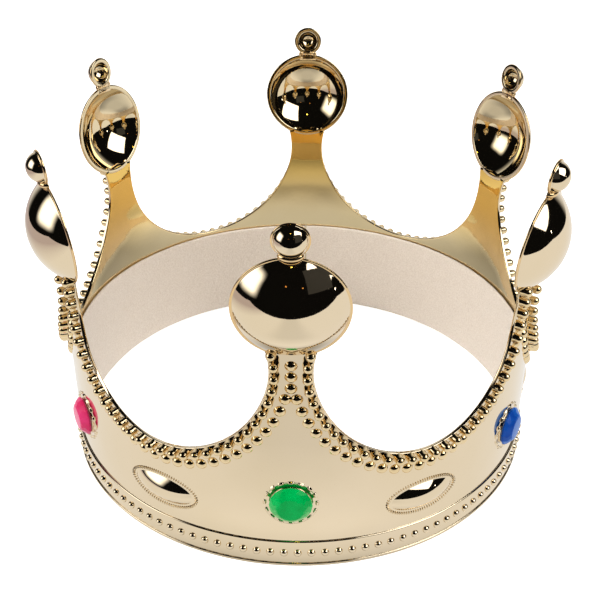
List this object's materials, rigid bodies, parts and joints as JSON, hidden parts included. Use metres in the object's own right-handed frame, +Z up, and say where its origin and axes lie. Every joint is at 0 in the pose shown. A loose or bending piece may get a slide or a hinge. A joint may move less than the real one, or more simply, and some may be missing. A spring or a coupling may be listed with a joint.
{
  "type": "costume crown",
  "caption": "Round costume crown: gold plastic shell with leaning points that end in hollow half-domes and finials, set jewels, beaded edges and a felt sweatband inside.",
  "frame": {"origin": "centre of the rim, on the surface that the crown stands on", "axes": "+Z up along the crown's axis, -Y towards the front jewel, +X to the right of somebody who looks at the front"},
  "size_m": [0.1998, 0.2178, 0.1438],
  "materials": {
    "gold_plastic": "vacuum-metallised pale gold, mirror bright",
    "felt": "soft cream felt",
    "tape": "thin white double-sided tape",
    "jewel_green": "clear green moulded plastic, polished",
    "jewel_blue": "clear blue moulded plastic, polished",
    "jewel_red": "clear red moulded plastic, polished",
    "glue": "set clear adhesive"
  },
  "bodies": {
    "root": {"crown_shell": "gold_plastic", "sweatband_lining": "felt", "lining_tape": "tape", "jewel_front": "jewel_green", "jewel_front_right": "jewel_blue", "jewel_back_right": "jewel_red", "jewel_back": "jewel_green", "jewel_back_left": "jewel_blue", "jewel_front_left": "jewel_red", "glue_front": "glue", "glue_front_right": "glue", "glue_back_right": "glue", "glue_back": "glue", "glue_back_left": "glue", "glue_front_left": "glue"}
  },
  "joints": []
}
